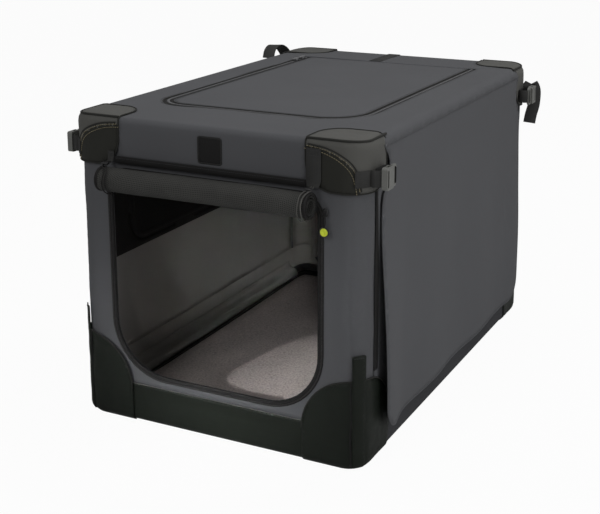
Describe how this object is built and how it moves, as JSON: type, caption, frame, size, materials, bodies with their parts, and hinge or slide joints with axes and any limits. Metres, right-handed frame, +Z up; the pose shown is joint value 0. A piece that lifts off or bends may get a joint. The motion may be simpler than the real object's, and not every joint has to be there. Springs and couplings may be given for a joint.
{
  "type": "soft folding dog crate",
  "caption": "Soft-sided folding pet crate: steel tube frame in a grey cloth cover with a rolled-up mesh door, roof hatch, side flaps, corner straps and a fleece mat.",
  "frame": {"origin": "middle of the crate's underside, on the floor plane", "axes": "+Z up, doorway and rolled door towards -Y, length along Y, width along X"},
  "size_m": [0.5592, 0.8448, 0.5128],
  "materials": {
    "cover_cloth": "dark grey woven polyester, fine weave",
    "front_cloth": "darker grey woven polyester",
    "corner_cloth": "black reinforced cloth",
    "band_cloth": "black coated cloth",
    "floor_board": "black stiff board, matte",
    "lining_mesh": "black mesh",
    "door_mesh": "black mesh, rolled",
    "webbing": "black webbing",
    "buckle_plastic": "black moulded acetal, satin",
    "frame_steel": "dark grey powder coat, satin",
    "socket_plastic": "black moulded nylon",
    "button_steel": "bright, satin",
    "zip_metal": "black enamel",
    "tag_rubber": "yellow-green, satin",
    "mat_fleece": "light brown-grey fleece pile"
  },
  "bodies": {
    "base": {"base_frame": "frame_steel", "base_tray": "band_cloth", "floor_board": "floor_board", "fleece_mat": "mat_fleece", "front_left_base_corner": "corner_cloth", "front_right_base_corner": "corner_cloth", "rear_left_base_corner": "corner_cloth", "rear_right_base_corner": "corner_cloth", "front_left_hinge_clip": "socket_plastic", "front_right_hinge_clip": "socket_plastic", "rear_left_hinge_clip": "socket_plastic", "rear_right_hinge_clip": "socket_plastic", "front_wall": "front_cloth", "rear_wall": "front_cloth", "left_wall": "cover_cloth", "right_wall": "cover_cloth", "left_mesh_window": "lining_mesh", "right_mesh_window": "lining_mesh", "front_door_binding": "webbing"},
    "top": {"top_frame": "frame_steel", "roof_panel": "cover_cloth", "hatch_tie": "webbing", "front_left_top_corner": "corner_cloth", "front_right_top_corner": "corner_cloth", "rear_left_top_corner": "corner_cloth", "rear_right_top_corner": "corner_cloth", "front_left_lock_socket": "socket_plastic", "front_right_lock_socket": "socket_plastic", "rear_left_lock_socket": "socket_plastic", "rear_right_lock_socket": "socket_plastic", "front_left_corner_strap": "webbing", "front_right_corner_strap": "webbing", "rear_left_corner_strap": "webbing", "rear_right_corner_strap": "webbing", "front_left_buckle_socket": "buckle_plastic", "front_right_buckle_socket": "buckle_plastic", "rear_left_buckle_socket": "buckle_plastic", "rear_right_buckle_socket": "buckle_plastic", "rolled_front_door": "door_mesh", "storm_strip": "webbing", "left_roll_tie": "webbing", "right_roll_tie": "webbing"},
    "front_end_frame": {"front_end_frame": "frame_steel"},
    "rear_end_frame": {"rear_end_frame": "frame_steel"},
    "rear_door": {"rear_door": "front_cloth"},
    "hatch": {"hatch_panel": "cover_cloth"},
    "left_flap": {"left_flap": "cover_cloth"},
    "right_flap": {"right_flap": "cover_cloth"},
    "front_zip": {"front_zip_slider": "zip_metal", "zip_pull_tag": "tag_rubber"},
    "front_hatch_slider": {"front_hatch_slider": "zip_metal"},
    "rear_hatch_slider": {"rear_hatch_slider": "zip_metal"},
    "front_left_lock_button": {"front_left_lock_button": "button_steel"},
    "front_left_buckle_plug": {"front_left_buckle_plug": "buckle_plastic"},
    "front_right_lock_button": {"front_right_lock_button": "button_steel"},
    "front_right_buckle_plug": {"front_right_buckle_plug": "buckle_plastic"},
    "rear_left_lock_button": {"rear_left_lock_button": "button_steel"},
    "rear_left_buckle_plug": {"rear_left_buckle_plug": "buckle_plastic"},
    "rear_right_lock_button": {"rear_right_lock_button": "button_steel"},
    "rear_right_buckle_plug": {"rear_right_buckle_plug": "buckle_plastic"}
  },
  "joints": [
    {"name": "fold", "type": "slide", "parent": "base", "child": "top", "axis": [0, 0, -1], "range_m": [0, 0.388], "deforming": ["front_wall", "rear_wall", "left_wall", "right_wall", "left_mesh_window", "right_mesh_window", "front_door_binding", "rear_door", "front_left_base_corner", "front_right_base_corner", "rear_left_base_corner", "rear_right_base_corner", "roof_panel", "left_flap", "right_flap", "front_left_top_corner", "front_right_top_corner", "rear_left_top_corner", "rear_right_top_corner"]},
    {"name": "front_frame_fold", "type": "hinge", "parent": "base", "child": "front_end_frame", "pos_m": [0, -0.364, 0.0384], "axis": [-1, 0, 0], "range_deg": [0, 90]},
    {"name": "rear_frame_fold", "type": "hinge", "parent": "base", "child": "rear_end_frame", "pos_m": [0, 0.364, 0.0384], "axis": [1, 0, 0], "range_deg": [0, 90]},
    {"name": "rear_door_lift", "type": "hinge", "parent": "base", "child": "rear_door", "pos_m": [0, 0.3983, 0.42], "axis": [1, 0, 0], "range_deg": [0, 120]},
    {"name": "hatch_lift", "type": "hinge", "parent": "top", "child": "hatch", "pos_m": [0, 0.2863, 0.51], "axis": [-1, 0, 0], "range_deg": [0, 150]},
    {"name": "left_flap_lift", "type": "hinge", "parent": "top", "child": "left_flap", "pos_m": [-0.2566, 0, 0.494], "axis": [0, 1, 0], "range_deg": [0, 95]},
    {"name": "right_flap_lift", "type": "hinge", "parent": "top", "child": "right_flap", "pos_m": [0.2566, 0, 0.494], "axis": [0, -1, 0], "range_deg": [0, 95]},
    {"name": "front_zip_run", "type": "slide", "parent": "base", "child": "front_zip", "axis": [0, 0, -1], "range_m": [0, 0.22]},
    {"name": "front_hatch_zip_run", "type": "slide", "parent": "hatch", "child": "front_hatch_slider", "axis": [0, -1, 0], "range_m": [0, 0.43]},
    {"name": "rear_hatch_zip_run", "type": "slide", "parent": "hatch", "child": "rear_hatch_slider", "axis": [0, -1, 0], "range_m": [-0.01, 0.005]},
    {"name": "front_left_lock_press", "type": "slide", "parent": "front_end_frame", "child": "front_left_lock_button", "axis": [-1, 0, 0], "range_m": [0, 0.004], "stiffness_N_per_m": 400},
    {"name": "front_right_lock_press", "type": "slide", "parent": "front_end_frame", "child": "front_right_lock_button", "axis": [1, 0, 0], "range_m": [0, 0.004], "stiffness_N_per_m": 400},
    {"name": "rear_left_lock_press", "type": "slide", "parent": "rear_end_frame", "child": "rear_left_lock_button", "axis": [-1, 0, 0], "range_m": [0, 0.004], "stiffness_N_per_m": 400},
    {"name": "rear_right_lock_press", "type": "slide", "parent": "rear_end_frame", "child": "rear_right_lock_button", "axis": [1, 0, 0], "range_m": [0, 0.004], "stiffness_N_per_m": 400},
    {"name": "front_left_buckle_pull", "type": "slide", "parent": "top", "child": "front_left_buckle_plug", "axis": [0, 1, 0], "range_m": [0, 0.018], "deforming": ["front_left_corner_strap"]},
    {"name": "front_right_buckle_pull", "type": "slide", "parent": "top", "child": "front_right_buckle_plug", "axis": [0, 1, 0], "range_m": [0, 0.018], "deforming": ["front_right_corner_strap"]},
    {"name": "rear_left_buckle_pull", "type": "slide", "parent": "top", "child": "rear_left_buckle_plug", "axis": [0, -1, 0], "range_m": [0, 0.018], "deforming": ["rear_left_corner_strap"]},
    {"name": "rear_right_buckle_pull", "type": "slide", "parent": "top", "child": "rear_right_buckle_plug", "axis": [0, -1, 0], "range_m": [0, 0.018], "deforming": ["rear_right_corner_strap"]}
  ],
  "couplings": [
    {"joint": "front_frame_fold", "follows": "fold", "rad_per_m": 4.0484},
    {"joint": "rear_frame_fold", "follows": "fold", "rad_per_m": 4.0484}
  ]
}
